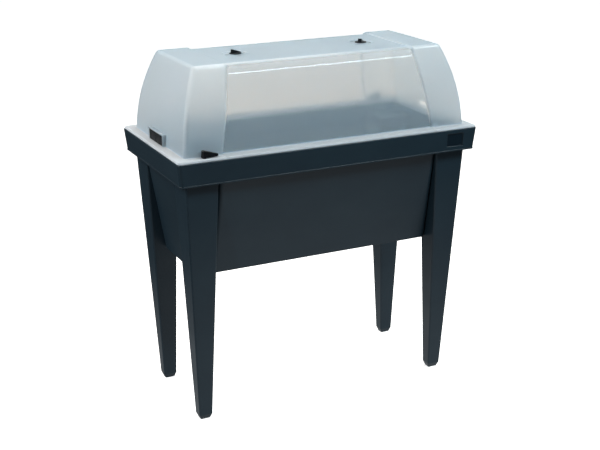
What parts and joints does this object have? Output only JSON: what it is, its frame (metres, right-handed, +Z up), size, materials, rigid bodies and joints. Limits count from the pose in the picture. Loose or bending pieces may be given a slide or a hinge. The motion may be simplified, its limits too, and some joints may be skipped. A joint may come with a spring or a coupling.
{
  "type": "raised grow tray with humidity dome",
  "caption": "Raised plastic grow tray on tapered plug-in legs, with a lift-off clear humidity dome that has turning roof vents, a hinged end vent and turn latches.",
  "frame": {"origin": "on the floor at the centre of the footprint", "axes": "+X along the long side, +Y from the front to the rear, +Z up"},
  "size_m": [0.7694, 0.3836, 0.8532],
  "materials": {
    "dark_plastic": "matt moulded polypropylene, anthracite with a cool tint",
    "clear_plastic": "slightly milky clear moulded plastic",
    "black_plastic": "fine-grained black moulded plastic",
    "screw_steel": "zinc plated",
    "seal_rubber": "soft black rubber"
  },
  "bodies": {
    "stand": {"tub": "dark_plastic", "leg_front_left": "dark_plastic", "leg_front_right": "dark_plastic", "leg_rear_left": "dark_plastic", "leg_rear_right": "dark_plastic", "leg_screws": "screw_steel"},
    "dome": {"dome": "clear_plastic", "flap_pin": "screw_steel"},
    "vent_left": {"vent_shutter_left": "clear_plastic", "vent_knob_left": "black_plastic", "vent_washer_left": "black_plastic"},
    "vent_right": {"vent_shutter_right": "clear_plastic", "vent_knob_right": "black_plastic", "vent_washer_right": "black_plastic"},
    "latch_front": {"latch_lever_front": "black_plastic", "latch_hook_front": "black_plastic"},
    "latch_rear": {"latch_lever_rear": "black_plastic", "latch_hook_rear": "black_plastic"},
    "drain": {"drain_plug": "black_plastic", "drain_seal": "seal_rubber"},
    "flap": {"end_flap": "black_plastic"}
  },
  "joints": [
    {"name": "dome_lift", "type": "slide", "parent": "stand", "child": "dome", "axis": [0, 0, 1], "range_m": [0, 0.25]},
    {"name": "vent_turn_left", "type": "hinge", "parent": "dome", "child": "vent_left", "pos_m": [-0.165, 0, 0.841], "axis": [0, 0, 1], "range_deg": [0, 45]},
    {"name": "vent_turn_right", "type": "hinge", "parent": "dome", "child": "vent_right", "pos_m": [0.165, 0, 0.841], "axis": [0, 0, 1], "range_deg": [-45, 0]},
    {"name": "flap_swing", "type": "hinge", "parent": "dome", "child": "flap", "pos_m": [-0.36485, 0, 0.67785], "axis": [0, 1, 0], "range_deg": [0, 75]},
    {"name": "latch_turn_front", "type": "hinge", "parent": "dome", "child": "latch_front", "pos_m": [-0.318, -0.177, 0.655], "axis": [0, 0, 1], "range_deg": [-90, 0]},
    {"name": "latch_turn_rear", "type": "hinge", "parent": "dome", "child": "latch_rear", "pos_m": [0.318, 0.177, 0.655], "axis": [0, 0, 1], "range_deg": [-90, 0]},
    {"name": "drain_pull", "type": "slide", "parent": "stand", "child": "drain", "axis": [0, 0, -1], "range_m": [0, 0.04]}
  ]
}
